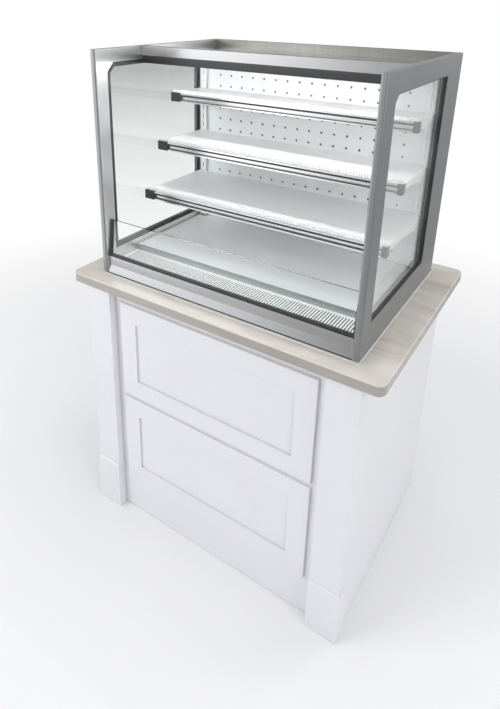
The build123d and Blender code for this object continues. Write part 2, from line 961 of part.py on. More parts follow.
def evaporator_fan_plate():
    """Partition across the tank with an opening for each fan."""
    y = display_front + fan_plate_offset
    half = tank_width / 2 - 2 * tank_skin - insulation_thickness
    plate = block(between(half), (y, y + fan_plate_thickness), (liner_floor(), flange_top))
    for side in sides:
        x, z = evaporator_fan_place(side)
        through = ((x, y, z), (x, y + fan_plate_thickness, z))
        plate -= round_bar(*through, fan_radius + fan_tip_gap)
    return plate


def evaporator_fan_place(side):
    sign = 1 if side == "right" else -1
    return sign * fan_spacing / 2, liner_floor() + fan_height


def fan_motor(x, face, z, opening, hub_back):
    """Round motor on a flat four-armed spider, with the shaft that carries its fan."""
    reach = opening + spider_overlap
    can = round_bar((x, face - motor_length, z), (x, face, z), motor_radius)
    arm_y = (face - spider_thickness, face)
    arms = block(between(reach), arm_y, between(spider_width / 2))
    arms += block(between(spider_width / 2), arm_y, between(reach))
    shaft = round_bar((x, face, z), (x, hub_back, z), motor_shaft_radius)
    return can + Pos(x, 0, z) * arms + shaft


def fan(x, hub_front, z, radius):
    """Hub with pitched blades, turning on an axis along Y."""
    rotor = Cylinder(fan_hub_radius, fan_hub_length)
    root = fan_hub_radius - blade_root_depth
    for number in range(fan_blades):
        blade = Box(radius - root, blade_chord, blade_thickness)
        blade = Pos((radius + root) / 2, 0, 0) * Rot(blade_pitch, 0, 0) * blade
        rotor += Rot(0, 0, number * 360 / fan_blades) * blade
    rotor &= Cylinder(radius, 2 * fan_hub_length)
    rotor -= Cylinder(motor_shaft_radius + hinge_clearance, fan_hub_length)
    return Pos(x, hub_front + fan_hub_length / 2, z) * Rot(90, 0, 0) * rotor


def evaporator_fan(side):
    x, z = evaporator_fan_place(side)
    return fan(x, evaporator_hub_front, z, fan_radius)


def fan_motors():
    """One motor for each of the three fans."""
    motors = []
    for side in sides:
        x, z = evaporator_fan_place(side)
        face = display_front + fan_plate_offset
        hub_back = evaporator_hub_front + fan_hub_length
        motors.append(fan_motor(x, face, z, fan_radius + fan_tip_gap, hub_back))
    hub_back = condenser_hub_front + fan_hub_length
    opening = condenser_fan_radius + fan_tip_gap
    motors.append(fan_motor(condenser_x, shroud_front, condenser_fan_z, opening, hub_back))
    return Compound(motors)


# Condensing unit

def unit_base():
    x, y = between(unit_width / 2), (unit_front, unit_front + unit_depth)
    return folded_tray(x, y, unit_top, unit_lift, unit_sheet, False)


def compressor():
    """Welded shell with its seam, on a foot plate and four rubber mounts."""
    foot = unit_top + compressor_foot_lift
    shell_low = foot + compressor_foot
    shell = Cylinder(compressor_radius, compressor_body, align=(Align.CENTER, Align.CENTER, Align.MIN))
    shell = fillet(shell.edges().group_by(Axis.Z)[-1], compressor_crown)
    seam = Cylinder(compressor_radius + compressor_seam, compressor_seam * 2)
    shell += Pos(0, 0, compressor_body / 2) * seam
    body = Pos(compressor_x, compressor_middle, shell_low) * shell
    plate = block(
        (compressor_x - compressor_radius, compressor_x + compressor_radius),
        (compressor_middle - compressor_radius, compressor_middle + compressor_radius),
        (foot, shell_low),
    )
    body += fillet(plate.edges().filter_by(Axis.Z), mount_radius)
    spread = compressor_radius - mount_radius
    for dx in (-spread, spread):
        for dy in (-spread, spread):
            x, y = compressor_x + dx, compressor_middle + dy
            body += round_bar((x, y, unit_top), (x, y, foot), mount_radius)
    return body


def compressor_top():
    return unit_top + compressor_foot_lift + compressor_foot + compressor_body


def condenser_coil():
    x = (condenser_x - condenser_width / 2, condenser_x + condenser_width / 2)
    y = (condenser_front, condenser_front + condenser_depth)
    z = (unit_top, unit_top + condenser_height)
    return finned_coil(x, y, z, condenser_fins, condenser_rows, condenser_layers)


def condenser_fan_shroud():
    """Sheet cowl that closes the coil's face round the fan."""
    x = (condenser_x - condenser_width / 2, condenser_x + condenser_width / 2)
    z = (unit_top, unit_top + condenser_height)
    cowl = block(x, (shroud_front, condenser_front), z)
    cowl -= block(
        (x[0] + sheet, x[1] - sheet),
        (shroud_front + sheet, condenser_front),
        (z[0] + sheet, z[1] - sheet),
    )
    centre = (condenser_x, shroud_front, condenser_fan_z)
    back = (condenser_x, shroud_front + sheet, condenser_fan_z)
    return cowl - round_bar(centre, back, condenser_fan_radius + fan_tip_gap)


def condenser_fan_blades():
    return fan(condenser_x, condenser_hub_front, condenser_fan_z, condenser_fan_radius)


def condensate_pan():
    """Open tray under the drain tube."""
    y = (display_middle - pan_depth / 2, display_middle + pan_depth / 2)
    tray = block(between(pan_width / 2), y, (unit_top, unit_top + pan_height))
    inner = (y[0] + pan_sheet, y[1] - pan_sheet)
    pocket_z = (unit_top + pan_sheet, unit_top + pan_height)
    return tray - block(between(pan_width / 2 - pan_sheet), inner, pocket_z)


def drain_tube():
    """Straight tube from the spout of the liner to just above the pan."""
    low = unit_top + pan_height + drain_gap
    ring = Circle(drain_radius) - Circle(drain_radius - drain_wall)
    return Pos(0, display_middle, low) * extrude(ring, spout_end - low)


def pipe(points, radius, bend):
    """Round pipe along straight runs joined by bends."""
    path = FilletPolyline(*points, radius=bend)
    return sweep(Plane(origin=path @ 0, z_dir=path % 0) * Circle(radius), path=path)


def refrigerant_pipes():
    """Discharge, liquid and suction lines between the compressor and the two coils."""
    top = compressor_top()
    stub_y = compressor_middle
    coil_end = condenser_x + condenser_width / 2 + coil_pitch(condenser_width, condenser_fins)
    coil_y = condenser_front + condenser_depth / 2
    high = unit_top + condenser_height * (condenser_layers - 0.5) / condenser_layers
    low = unit_top + condenser_height * 0.5 / condenser_layers
    evaporator_end = coil_width / 2 + coil_pitch(coil_width, fin_count)
    layers = [
        liner_floor() + coil_lift + coil_height * (layer + 0.5) / tube_layers
        for layer in (0, tube_layers - 1)
    ]
    discharge = (
        (compressor_x - stub_spacing, stub_y, top),
        (compressor_x - stub_spacing, stub_y, top + pipe_rise),
        (coil_end + pipe_offset, coil_y, top + pipe_rise),
        (coil_end + pipe_offset, coil_y, high),
        (coil_end, coil_y, high),
    )
    liquid = (
        (coil_end, coil_y, low),
        (coil_end + 2 * pipe_offset, coil_y, low),
        (coil_end + 2 * pipe_offset, coil_y, tank_bottom - pipe_drop),
        (pipe_riser_x, riser_rows[1], tank_bottom - pipe_drop),
        (pipe_riser_x, riser_rows[1], layers[0]),
        (evaporator_end, riser_rows[1], layers[0]),
    )
    suction = (
        (compressor_x + stub_spacing, stub_y, top),
        (compressor_x + stub_spacing, stub_y, tank_bottom - 2 * pipe_drop),
        (pipe_riser_x, riser_rows[0], tank_bottom - 2 * pipe_drop),
        (pipe_riser_x, riser_rows[0], layers[1]),
        (evaporator_end, riser_rows[0], layers[1]),
    )
    return Compound([pipe(points, pipe_radius, pipe_bend) for points in (discharge, liquid, suction)])


def coil_pitch(width, fins):
    return width / (fins - 1)


# Controls

def control_box():
    """Steel box on the right side panel, with a housing for each rocker in its face."""
    shell = block((box_left, inside_half), (box_front, box_face), (box_base, box_base + box_height))
    shell -= block(
        (box_left + box_sheet, inside_half),
        (box_front + box_sheet, box_face - box_sheet),
        (box_base + box_sheet, box_base + box_height - box_sheet),
    )
    z = box_base + rocker_lift
    deep = box_face - rocker_housing
    for x in rocker_places():
        wide = rocker_width / 2 + rocker_clearance
        tall = rocker_height / 2 + rocker_swing
        housing = block(between(wide + box_sheet), (deep, box_face), between(tall + box_sheet))
        opening = block(between(wide), (deep, box_face), between(tall))
        pin = round_bar((-wide, rocker_axis_y, 0), (wide, rocker_axis_y, 0), rocker_pin_radius)
        shell += Pos(x, 0, z) * housing
        shell -= Pos(x, 0, z) * opening
        shell += Pos(x, 0, z) * pin
    gland = (box_middle_x, box_middle_y, box_base)
    return shell - round_bar(gland, (gland[0], gland[1], box_base + box_sheet), gland_bore)


def rocker_places():
    return (controls_x - rocker_spacing / 2, controls_x + rocker_spacing / 2)


def rocker(number):
    """Rocker with a shallow V face, at rest with its upper end pressed."""
    half, back = rocker_height / 2, -rocker_body / 2
    outline = ((back, -half), (back, half), (rocker_rise, half), (0, 0), (rocker_rise, -half))
    paddle = along_x([(y + rocker_body / 2, z) for y, z in outline], between(rocker_width / 2))
    bore = rocker_pin_radius + hinge_clearance
    paddle -= round_bar((-rocker_width / 2, 0, 0), (rocker_width / 2, 0, 0), bore)
    place = Pos(rocker_places()[number], rocker_axis_y, box_base + rocker_lift)
    return place * Rot(rocker_throw, 0, 0) * paddle


def controller():
    """Housing with a display window and a well for its button."""
    x = (controls_x - controller_width / 2, controls_x + controller_width / 2)
    middle = box_base + controller_lift
    z = (middle - controller_height / 2, middle + controller_height / 2)
    face = box_face + controller_proud
    body = block(x, (box_face, face), z)
    front = body.faces().sort_by(Axis.Y)[-1]
    body = chamfer(front.edges(), box_sheet)
    window = block(
        (x[0] + window_margin, x[0] + window_margin + window_width),
        (face - window_depth, face),
        (z[0] + window_margin, z[1] - window_margin),
    )
    x, z = button_place
    well = round_bar((x, face - button_depth, z), (x, face, z), button_radius + button_clearance)
    return body - window - well


def set_button():
    face = box_face + controller_proud
    back = face - button_depth + button_travel + button_clearance
    x, z = button_place
    return round_bar((x, back, z), (x, face + button_proud, z), button_radius)


def power_gland():
    """Cable gland in the bottom of the control box."""
    ring = Circle(gland_radius) - Circle(gland_bore)
    nut = RegularPolygon(gland_nut, 6) - Circle(gland_bore)
    body = extrude(ring, gland_length)
    body += Pos(0, 0, gland_length - gland_nut_height) * extrude(nut, gland_nut_height)
    return Pos(box_middle_x, box_middle_y, box_base - gland_length) * body


parts = {
    "counter_top": counter_top(),
    "side_panels": side_panels(),
    "front_board": front_board(),
    "pilasters": pilasters(),
    "plinth_blocks": plinth_blocks(),
    "front_panels": front_panels(),
    "base_floor": base_floor(),
    "rear_frame": rear_frame(),
    "hinge_frame_leaves": hinge_frame_leaves(),
    "side_frames": side_frames(),
    "side_glass": side_glass(),
    "glass_gaskets": glass_gaskets(),
    "roof_panel": roof_panel(),
    "canopy_rail": canopy_rail(),
    "air_honeycomb": air_honeycomb(),
    "canopy_light": canopy_light(),
    "rear_panel": rear_panel(),
    "duct_panel": duct_panel(),
    "shelf_standards": shelf_standards(),
    "shelf_brackets": shelf_brackets(),
    "deck_pan": deck_pan(),
    "deck_front_trim": deck_front_trim(),
    "deck_rails": deck_rails(),
    "return_grille": return_grille(),
    "front_glass": front_glass(),
    "front_glass_trim": front_glass_trim(),
    "front_fascia": front_fascia(),
    "mounting_gasket": mounting_gasket(),
    "tank_shell": tank_shell(),
    "tank_insulation": tank_insulation(),
    "tank_liner": tank_liner(),
    "drain_tube": drain_tube(),
    "evaporator_coil": evaporator_coil(),
    "evaporator_fan_plate": evaporator_fan_plate(),
    "fan_motors": fan_motors(),
    "unit_base": unit_base(),
    "compressor": compressor(),
    "condenser_coil": condenser_coil(),
    "condenser_fan_shroud": condenser_fan_shroud(),
    "condenser_fan_blades": condenser_fan_blades(),
    "condensate_pan": condensate_pan(),
    "refrigerant_pipes": refrigerant_pipes(),
    "control_box": control_box(),
    "controller": controller(),
    "set_button": set_button(),
    "power_rocker": rocker(0),
    "light_rocker": rocker(1),
    "power_gland": power_gland(),
}
for name in shelf_names:
    parts[name + "_shelf_pan"] = shelf_pan(name)
    parts[name + "_price_channel"] = price_channel(name)
for side in sides:
    parts[side + "_door"] = door(side)
    parts[side + "_door_hardware"] = door_hardware(side)
    parts[side + "_fan_blades"] = evaporator_fan(side)

os.makedirs("parts", exist_ok=True)
for name, shape in parts.items():
    export_step(shape, os.path.join("parts", name + ".step"))
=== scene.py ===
# %% [markdown]
# A refrigerated display that drops into the stone top of a white panelled counter.
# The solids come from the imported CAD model, which this lesson calls the frame: it holds every
# piece at its real size and place. Here the frame gets a camera, studio light, real finishes and
# the small pieces that only matter to the eye, such as screws, beads of sealant and strips.

# %% Load the frame
import json
import math
import bmesh
import bpy
from mathutils import Matrix, Vector


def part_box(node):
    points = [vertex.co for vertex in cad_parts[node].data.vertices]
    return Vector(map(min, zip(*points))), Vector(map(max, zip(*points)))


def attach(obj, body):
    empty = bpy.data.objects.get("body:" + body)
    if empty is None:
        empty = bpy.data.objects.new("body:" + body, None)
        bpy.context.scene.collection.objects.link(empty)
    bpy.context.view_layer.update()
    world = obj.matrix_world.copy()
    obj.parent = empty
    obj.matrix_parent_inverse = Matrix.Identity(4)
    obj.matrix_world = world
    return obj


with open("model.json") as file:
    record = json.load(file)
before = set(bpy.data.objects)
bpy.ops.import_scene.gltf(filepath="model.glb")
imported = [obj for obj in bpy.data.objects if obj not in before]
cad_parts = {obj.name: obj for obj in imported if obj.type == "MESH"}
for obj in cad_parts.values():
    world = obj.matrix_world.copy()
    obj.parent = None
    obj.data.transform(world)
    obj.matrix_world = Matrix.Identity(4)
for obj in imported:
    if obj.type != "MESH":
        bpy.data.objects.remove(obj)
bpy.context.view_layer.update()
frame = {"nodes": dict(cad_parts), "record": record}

# %% [markdown]
# The camera stands where the photographer stood: to the right of the front, a little above the
# canopy, looking down and to the left. Its place was found by matching corners of the display
# and the counter with the same corners in the photograph. The photograph is a tall crop whose
# optical centre is taken above its middle and a little to the left, so the lens is shifted by as
# much to frame the whole counter.

# %% Camera
photo_width, photo_height = 500, 709
optical_centre_x, optical_centre_y = 220.0, 206.0
focal_pixels = 575.0
sensor = 36.0
camera_place = Vector((0.8651, -1.5766, 1.8407))
camera_yaw = -0.59816
camera_pitch = 0.346
camera_roll = 0.01133

camera_data = bpy.data.cameras.new("photo_camera")
camera_data.sensor_width = sensor
camera_data.lens = focal_pixels * sensor / photo_height
camera_data.shift_x = (photo_width / 2 - optical_centre_x) / photo_height
camera_data.shift_y = (optical_centre_y - photo_height / 2) / photo_height
camera = bpy.data.objects.new("photo_camera", camera_data)
bpy.context.scene.collection.objects.link(camera)
level = math.cos(camera_pitch)
forward = Vector(
    (math.sin(camera_yaw) * level, math.cos(camera_yaw) * level, -math.sin(camera_pitch))
)
turn = forward.to_track_quat("-Z", "Y").to_matrix().to_4x4()
camera.matrix_world = Matrix.Translation(camera_place) @ turn @ Matrix.Rotation(camera_roll, 4, "Z")
bpy.context.scene.camera = camera
print("lens", round(camera_data.lens, 2))
print("shift", round(camera_data.shift_x, 4), round(camera_data.shift_y, 4))

# %% [markdown]
# Every finish below is a tree of shader nodes. Written out in full, each node takes several
# lines, so helpers keep the trees readable. They add a node and fill in its inputs, do a sum,
# mix two colours or two values, and start or place a node group with named sockets. An input may
# be given a value or another node's output, and an output becomes a link.

# %% Helpers for node trees
def add(tree, kind, settings=None, inputs=None):
    """A new shader node with its settings and its inputs, which are values or outputs."""
    node = tree.nodes.new("ShaderNode" + kind)
    for name, value in (settings or {}).items():
        setattr(node, name, value)
    for name, value in (inputs or {}).items():
        if isinstance(value, bpy.types.NodeSocket):
            tree.links.new(value, node.inputs[name])
        else:
            node.inputs[name].default_value = value
    return node


def maths(tree, operation, first, second=0.0, clamp=False):
    """Output of a Math node."""
    settings = {"operation": operation, "use_clamp": clamp}
    return add(tree, "Math", settings, {0: first, 1: second}).outputs[0]


def remap(tree, value, low, high, out_low=0.0, out_high=1.0):
    """Output of a Map Range node that clamps its result."""
    limits = {"From Min": low, "From Max": high, "To Min": out_low, "To Max": out_high}
    return add(tree, "MapRange", {"clamp": True}, {"Value": value, **limits}).outputs[0]


def mix_colours(tree, factor, first, second, mode="MIX"):
    """Output of a Mix node for two colours."""
    settings = {"data_type": "RGBA", "blend_type": mode}
    return add(tree, "Mix", settings, {0: factor, 6: first, 7: second}).outputs[2]


def mix_values(tree, factor, first, second):
    """Output of a Mix node for two plain values."""
    inputs = {0: factor, 2: first, 3: second}
    return add(tree, "Mix", {"data_type": "FLOAT"}, inputs).outputs[0]


def start_group(name, inputs, outputs):
    """A node group with the named sockets, its inputs' outputs and its outputs' inputs."""
    group = bpy.data.node_groups.new(name, "ShaderNodeTree")
    for label, kind, value in inputs:
        socket = group.interface.new_socket(name=label, in_out="INPUT", socket_type="NodeSocket" + kind)
        socket.default_value = value
    for label, kind in outputs:
        group.interface.new_socket(name=label, in_out="OUTPUT", socket_type="NodeSocket" + kind)
    entry = group.nodes.new("NodeGroupInput")
    leave = group.nodes.new("NodeGroupOutput")
    return group, entry.outputs, leave.inputs


def use_group(tree, group, **inputs):
    """The group placed in a tree. An underscore in an input's name stands for a space."""
    node = tree.nodes.new("ShaderNodeGroup")
    node.node_tree = group
    for name, value in inputs.items():
        socket = node.inputs[name.replace("_", " ")]
        if isinstance(value, bpy.types.NodeSocket):
            tree.links.new(value, socket)
        else:
            socket.default_value = value
    return node


def position(tree):
    """Coordinates that stay with a piece when it moves: at rest they are the frame's own."""
    return add(tree, "TexCoord").outputs["Object"]


def rgba(red, green, blue):
    """An opaque colour, in linear values."""
    return (red, green, blue, 1.0)


print("helpers ready")

# %% [markdown]
# Brushed steel is dulled by thousands of fine parallel scratches. They could be modelled as an
# anisotropic shader, but that needs tangents, which CAD meshes don't carry. A noise that is
# squeezed across the scratches and drawn out along them gives the same streaks from object
# coordinates alone. The group puts out a colour, a roughness and a height, so that each steel
# sets its own direction, contrast and tone.

# %% Group: brushed grain
def brushed_grain_group():
    group, given, result = start_group(
        "brushed grain",
        [
            ("Colour", "Color", rgba(0.6, 0.6, 0.6)),
            ("Roughness", "Float", 0.35),
            ("Stretch", "Vector", (4.0, 300.0, 300.0)),
            ("Contrast", "Float", 0.15),
        ],
        [("Colour", "Color"), ("Roughness", "Float"), ("Height", "Float")],
    )
    drawn_out = add(group, "Mapping", {}, {"Vector": position(group), "Scale": given["Stretch"]})
    scratches = add(
        group,
        "TexNoise",
        {},
        {"Vector": drawn_out.outputs[0], "Scale": 1.0, "Detail": 5.0, "Roughness": 0.65},
    ).outputs["Fac"]
    clouds = add(
        group, "TexNoise", {}, {"Vector": position(group), "Scale": 3.5, "Detail": 2.0}
    ).outputs["Fac"]
    both = maths(group, "ADD", maths(group, "MULTIPLY", scratches, 1.6), clouds)
    swing = maths(group, "SUBTRACT", both, 1.3)
    shade = maths(group, "MULTIPLY_ADD", swing, given["Contrast"])
    shade.node.inputs[2].default_value = 1.0
    tone = add(group, "CombineColor", {}, {"Red": shade, "Green": shade, "Blue": shade}).outputs[0]
    colour = mix_colours(group, 1.0, given["Colour"], tone, "MULTIPLY")
    rough = maths(group, "MULTIPLY_ADD", swing, maths(group, "MULTIPLY", given["Contrast"], -0.6))
    group.links.new(given["Roughness"], rough.node.inputs[2])
    group.links.new(colour, result["Colour"])
    group.links.new(rough, result["Roughness"])
    group.links.new(scratches, result["Height"])
    return group


brushed_grain = brushed_grain_group()
print("brushed grain sockets", len(brushed_grain.interface.items_tree))

# %% [markdown]
# Sprayed lacquer, powder coat and moulded plastic are never perfectly even. Each has a fine
# pebbled surface, and its colour and gloss drift slowly over a panel. One group holds both: a
# fine noise for the pebbles and a slow one for the drift.

# %% Group: pebbled coat
def pebbled_coat_group():
    group, given, result = start_group(
        "pebbled coat",
        [
            ("Colour", "Color", rgba(0.8, 0.8, 0.8)),
            ("Roughness", "Float", 0.4),
            ("Pebble Scale", "Float", 600.0),
            ("Drift", "Float", 0.04),
        ],
        [("Colour", "Color"), ("Roughness", "Float"), ("Height", "Float")],
    )
    place = position(group)
    pebbles = add(
        group, "TexNoise", {}, {"Vector": place, "Scale": given["Pebble Scale"], "Detail": 2.0}
    ).outputs["Fac"]
    slow = add(
        group, "TexNoise", {}, {"Vector": place, "Scale": 5.0, "Detail": 4.0, "Roughness": 0.6}
    ).outputs["Fac"]
    swing = maths(group, "MULTIPLY", maths(group, "SUBTRACT", slow, 0.5), 2.0)
    shade = maths(group, "MULTIPLY_ADD", swing, given["Drift"])
    shade.node.inputs[2].default_value = 1.0
    tone = add(group, "CombineColor", {}, {"Red": shade, "Green": shade, "Blue": shade}).outputs[0]
    rough = maths(group, "MULTIPLY_ADD", swing, given["Drift"])
    group.links.new(given["Roughness"], rough.node.inputs[2])
    group.links.new(mix_colours(group, 1.0, given["Colour"], tone, "MULTIPLY"), result["Colour"])
    group.links.new(rough, result["Roughness"])
    group.links.new(pebbles, result["Height"])
    return group


pebbled_coat = pebbled_coat_group()
print("pebbled coat sockets", len(pebbled_coat.interface.items_tree))

# %% [markdown]
# Inside corners are greyed with a painted shade, as if light fell off in the hollows. Ambient
# occlusion finds them and a coarse noise makes the grey patchy. The same painted shade draws the
# joints between panels.

# %% Group: painted corner shade
def painted_corner_shade_group():
    group, given, result = start_group(
        "painted corner shade",
        [
            ("Colour", "Color", rgba(0.8, 0.8, 0.8)),
            ("Roughness", "Float", 0.4),
            ("Shade Colour", "Color", rgba(0.30, 0.29, 0.28)),
            ("Reach", "Float", 0.012),
            ("Amount", "Float", 0.5),
        ],
        [("Colour", "Color"), ("Roughness", "Float")],
    )
    # painted shade: ambient occlusion greys inside corners and joints toward the shade colour
    open_air = add(group, "AmbientOcclusion", {"samples": 8}, {"Distance": given["Reach"]}).outputs["AO"]
    closed = remap(group, open_air, 1.0, 0.35)
    patchy = add(
        group, "TexNoise", {}, {"Vector": position(group), "Scale": 60.0, "Detail": 3.0}
    ).outputs["Fac"]
    mask = maths(group, "MULTIPLY", closed, remap(group, patchy, 0.25, 0.75, 0.6, 1.0))
    mask = maths(group, "MULTIPLY", mask, given["Amount"], clamp=True)
    group.links.new(
        mix_colours(group, mask, given["Colour"], given["Shade Colour"]), result["Colour"]
    )
    rough = maths(group, "MULTIPLY_ADD", mask, 0.3)
    group.links.new(given["Roughness"], rough.node.inputs[2])
    group.links.new(rough, result["Roughness"])
    return group


painted_corner_shade = painted_corner_shade_group()
print("painted corner shade sockets", len(painted_corner_shade.interface.items_tree))

# %% [markdown]
# Along every corner a finish is made paler, a painted highlight: paint turns pale and steel
# turns bright. The Bevel node looks a little way round a corner, and where its normal differs
# from the true one there is an edge. A coarse noise breaks the line up.

# %% Group: painted edge highlight
def painted_edge_highlight_group():
    group, given, result = start_group(
        "painted edge highlight",
        [
            ("Colour", "Color", rgba(0.8, 0.8, 0.8)),
            ("Roughness", "Float", 0.4),
            ("Edge Colour", "Color", rgba(0.9, 0.9, 0.9)),
            ("Width", "Float", 0.0012),
            ("Amount", "Float", 0.4),
        ],
        [("Colour", "Color"), ("Roughness", "Float")],
    )
    # painted highlight: edges found by the Bevel node are mixed toward a paler colour
    rounded = add(group, "Bevel", {"samples": 4}, {"Radius": given["Width"]}).outputs[0]
    true_normal = add(group, "NewGeometry").outputs["Normal"]
    settings = {"operation": "DOT_PRODUCT"}
    likeness = add(group, "VectorMath", settings, {0: rounded, 1: true_normal}).outputs["Value"]
    edge = remap(group, likeness, 0.99, 0.85)
    edge_highlighting = add(
        group, "TexNoise", {}, {"Vector": position(group), "Scale": 45.0, "Detail": 4.0}
    ).outputs["Fac"]
    mask = maths(group, "MULTIPLY", edge, remap(group, edge_highlighting, 0.35, 0.7))
    mask = maths(group, "MULTIPLY", mask, given["Amount"], clamp=True)
    group.links.new(
        mix_colours(group, mask, given["Colour"], given["Edge Colour"]), result["Colour"]
    )
    rough = maths(group, "MULTIPLY_ADD", mask, -0.12)
    group.links.new(given["Roughness"], rough.node.inputs[2])
    group.links.new(rough, result["Roughness"])
    return group


painted_edge_highlight = painted_edge_highlight_group()
print("painted edge highlight sockets", len(painted_edge_highlight.interface.items_tree))

# %% [markdown]
# A material starts as a Principled shader and an output. The shader's own plain values, such as
# Metallic or IOR, are set straight on its sockets, and the groups drive only what changes over
# the surface. A bump turns a group's height into a normal, with its depth given in metres.

# %% Helpers for materials
materials = {}


def start_material(name, **values):
    """A material with one Principled shader, whose plain values are given by name."""
    material = bpy.data.materials.new(name)
    material.use_nodes = True
    tree = material.node_tree
    tree.nodes.clear()
    shader = add(tree, "BsdfPrincipled")
    for label, value in values.items():
        shader.inputs[label.replace("_", " ")].default_value = value
    add(tree, "OutputMaterial", {}, {"Surface": shader.outputs[0]})
    materials[name] = material
    return tree, shader


def drive(tree, shader, finish, relief=None, depth=0.0):
    """Leads a finish's colour and roughness, and a height as bump, into the shader."""
    tree.links.new(finish.outputs["Colour"], shader.inputs["Base Color"])
    tree.links.new(finish.outputs["Roughness"], shader.inputs["Roughness"])
    if relief:
        bump = add(tree, "Bump", {}, {"Height": relief, "Distance": depth, "Strength": 1.0})
        tree.links.new(bump.outputs[0], shader.inputs["Normal"])


def highlighted_and_shaded(tree, finish, edge_colour, edge_highlight, corner_shade):
    """A finish with a painted highlight along its corners first, then painted shade in its hollows."""
    edge_highlighting = use_group(
        tree,
        painted_edge_highlight,
        Colour=finish.outputs["Colour"],
        Roughness=finish.outputs["Roughness"],
        Edge_Colour=edge_colour,
        Amount=edge_highlight,
    )
    return use_group(
        tree,
        painted_corner_shade,
        Colour=edge_highlighting.outputs["Colour"],
        Roughness=edge_highlighting.outputs["Roughness"],
        Amount=corner_shade,
    )


print("material helpers ready")

# %% [markdown]
# The steels differ only in tone, gloss and the way they were brushed. The roof, fascia and
# canopy rail are brushed along their length, and the back panel coarsely from top to bottom.
# Hardware has no clear direction, and the tank is a dull mill finish. So one function makes
# them all.

# %% Brushed steel and aluminium
along_width = (1.5, 900.0, 900.0)
along_height = (260.0, 260.0, 4.0)
no_direction = (180.0, 180.0, 180.0)
scratch_depth = 0.00002


def brushed_metal(name, colour, roughness, stretch, contrast):
    tree, shader = start_material(name, Metallic=1.0)
    grain = use_group(
        tree, brushed_grain, Colour=colour, Roughness=roughness, Stretch=stretch, Contrast=contrast
    )
    used = highlighted_and_shaded(tree, grain, rgba(0.85, 0.85, 0.84), 0.5, 0.35)
    drive(tree, shader, used, grain.outputs["Height"], scratch_depth)


brushed_metal("stainless", rgba(0.39, 0.40, 0.415), 0.26, along_width, 0.07)
brushed_metal("canopy_steel", rgba(0.43, 0.435, 0.445), 0.26, along_width, 0.07)
brushed_metal("back_steel", rgba(0.24, 0.235, 0.218), 0.38, along_height, 0.36)
brushed_metal("hinge_steel", rgba(0.60, 0.59, 0.57), 0.34, no_direction, 0.12)
brushed_metal("tank_steel", rgba(0.55, 0.56, 0.57), 0.42, no_direction, 0.18)
brushed_metal("price_aluminium", rgba(0.80, 0.81, 0.82), 0.24, along_width, 0.14)
brushed_metal("fin_aluminium", rgba(0.68, 0.69, 0.70), 0.40, no_direction, 0.10)
print("steels", sorted(materials))

# %% [markdown]
# The two side frames have two finishes. Outside they carry a smooth grey coat with a faint
# metallic lustre, and inside a bare brushed lining. The coat is set dark, a painted shade, and
# the lining pale, a painted light, so together they also paint how differently the two sides are
# lit. Both are faces of one solid, so the material tells them apart by how far a point is from
# the middle of the cabinet, and mixes colour, roughness and metallic with that mask.

# %% Side frame finish
lining_depth = 0.006               # from the outer side of the panes to the bare lining
lining_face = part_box("side_glass")[1].x - lining_depth
fade_start = lining_face + 0.0004
coat_start = lining_face + 0.0008
# painted shade in the coat's dark grey and painted light in the lining's pale steel
shaded_frame_coat = rgba(0.26, 0.268, 0.275)
lit_frame_lining = rgba(0.86, 0.865, 0.86)
# painted highlight colour for the frames' edges
frame_edge_highlight = rgba(0.42, 0.44, 0.46)


def frame_finish():
    tree, shader = start_material("frame_grey")
    coat = use_group(
        tree, pebbled_coat, Colour=shaded_frame_coat, Roughness=0.36, Pebble_Scale=900.0, Drift=0.08
    )
    bare = use_group(
        tree,
        brushed_grain,
        Colour=lit_frame_lining,
        Roughness=0.32,
        Stretch=(300.0, 300.0, 6.0),
        Contrast=0.20,
    )
    side = add(tree, "SeparateXYZ", {}, {0: position(tree)}).outputs["X"]
    outside = remap(tree, maths(tree, "ABSOLUTE", side), fade_start, coat_start)
    colour = mix_colours(tree, outside, bare.outputs["Colour"], coat.outputs["Colour"])
    rough = mix_values(tree, outside, bare.outputs["Roughness"], coat.outputs["Roughness"])
    used = use_group(
        tree, painted_edge_highlight, Colour=colour, Roughness=rough, Edge_Colour=frame_edge_highlight, Amount=0.6
    )
    used = use_group(
        tree, painted_corner_shade, Colour=used.outputs["Colour"], Roughness=used.outputs["Roughness"], Amount=0.4
    )
    drive(tree, shader, used, coat.outputs["Height"], 0.00003)
    tree.links.new(remap(tree, outside, 0.0, 1.0, 1.0, 0.55), shader.inputs["Metallic"])


frame_finish()
print("frame lining ends at", round(coat_start, 4))

# %% [markdown]
# Board parts of the counter are sprayed with a cool white satin lacquer, and sheet parts of the
# display are powder coated. Both are white coats on a smooth base, and differ in gloss and in
# how coarse the pebbles are. Painted corner shade draws the thin grey lines round the raised panels.

# %% White and grey coats
coat_depth = 0.00003


def coated(name, colour, roughness, pebble_scale, corner_shade):
    tree, shader = start_material(name)
    coat = use_group(
        tree, pebbled_coat, Colour=colour, Roughness=roughness, Pebble_Scale=pebble_scale, Drift=0.035
    )
    lighter = tuple(min(1.0, channel * 1.15 + 0.02) for channel in colour[:3]) + (1.0,)
    used = highlighted_and_shaded(tree, coat, lighter, 0.35, corner_shade)
    drive(tree, shader, used, coat.outputs["Height"], coat_depth)


coated("white_board", rgba(0.80, 0.80, 0.83), 0.38, 700.0, 0.35)
coated("white_sheet", rgba(0.88, 0.885, 0.89), 0.36, 1100.0, 0.35)
coated("grille_white", rgba(0.90, 0.905, 0.91), 0.34, 1100.0, 0.30)
coated("motor_grey", rgba(0.06, 0.065, 0.07), 0.45, 500.0, 0.3)
coated("box_grey", rgba(0.30, 0.31, 0.32), 0.42, 800.0, 0.4)
coated("compressor_black", rgba(0.014, 0.014, 0.015), 0.30, 250.0, 0.5)
print("coats", len(materials))

# %% [markdown]
# Moulded plastic and rubber have no brushing and no spray, only the fine grain of the mould.
# Rubber is the duller of the two. The trims round the glass and the panes' gaskets are black,
# and foam and sealant are made the same way.

